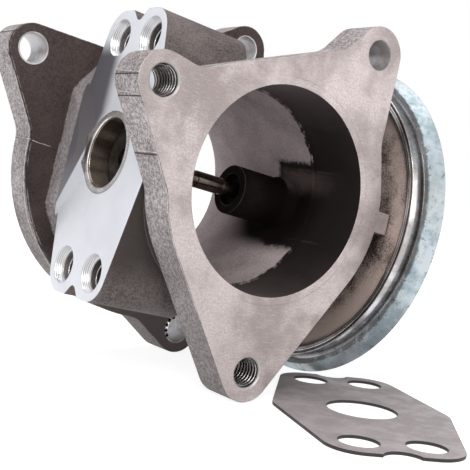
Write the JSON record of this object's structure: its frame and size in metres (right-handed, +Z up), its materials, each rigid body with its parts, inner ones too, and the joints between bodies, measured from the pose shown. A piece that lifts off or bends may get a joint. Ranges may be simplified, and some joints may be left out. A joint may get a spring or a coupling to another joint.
{
  "type": "egr valve",
  "caption": "Vacuum-worked EGR valve on a cast mixing duct, with a sprung poppet on a sliding stem, a crimped vacuum can and its loose inlet gasket.",
  "frame": {"origin": "centre of the duct's front mouth, on its machined face", "axes": "+Y along the duct from the front flange to the rear flange; +Z up as the valve lies on a table, resting on two flange lobes and the can's rim; the stem's axis leans 9 degrees down from +X"},
  "size_m": [0.1333, 0.1416, 0.1071],
  "materials": {
    "casting": "sand cast, milled on its faces",
    "seat_steel": "turned",
    "valve_steel": "ground, heat stained",
    "bronze": "sintered",
    "graphite": "matt",
    "plated_steel": "zinc plated, blue-green and mottled",
    "rubber": "matt, fabric reinforced",
    "spring_steel": "drawn wire",
    "insert_steel": "bright",
    "gasket_sheet": "coated sheet, matt"
  },
  "bodies": {
    "housing": {"duct_casting": "casting", "seat_ring": "seat_steel", "stem_scraper": "seat_steel", "guide_bush": "bronze", "stem_seal": "graphite", "seal_cap": "plated_steel", "diaphragm": "rubber", "return_spring": "spring_steel", "spring_locator": "plated_steel", "vacuum_can": "plated_steel", "vacuum_nipple": "plated_steel", "thread_inserts": "insert_steel", "exhaust_gasket": "gasket_sheet"},
    "valve": {"valve_head": "valve_steel", "valve_stem": "valve_steel", "stem_spacer": "plated_steel", "lower_plate": "plated_steel", "upper_plate": "plated_steel", "lock_washer": "spring_steel", "stem_nut": "plated_steel"}
  },
  "joints": [
    {"name": "valve_lift", "type": "slide", "parent": "housing", "child": "valve", "axis": [0.9877, 0, -0.1564], "range_m": [0, 0.007], "stiffness_N_per_m": 6000, "springref_m": -0.01, "deforming": ["return_spring", "diaphragm"]}
  ]
}
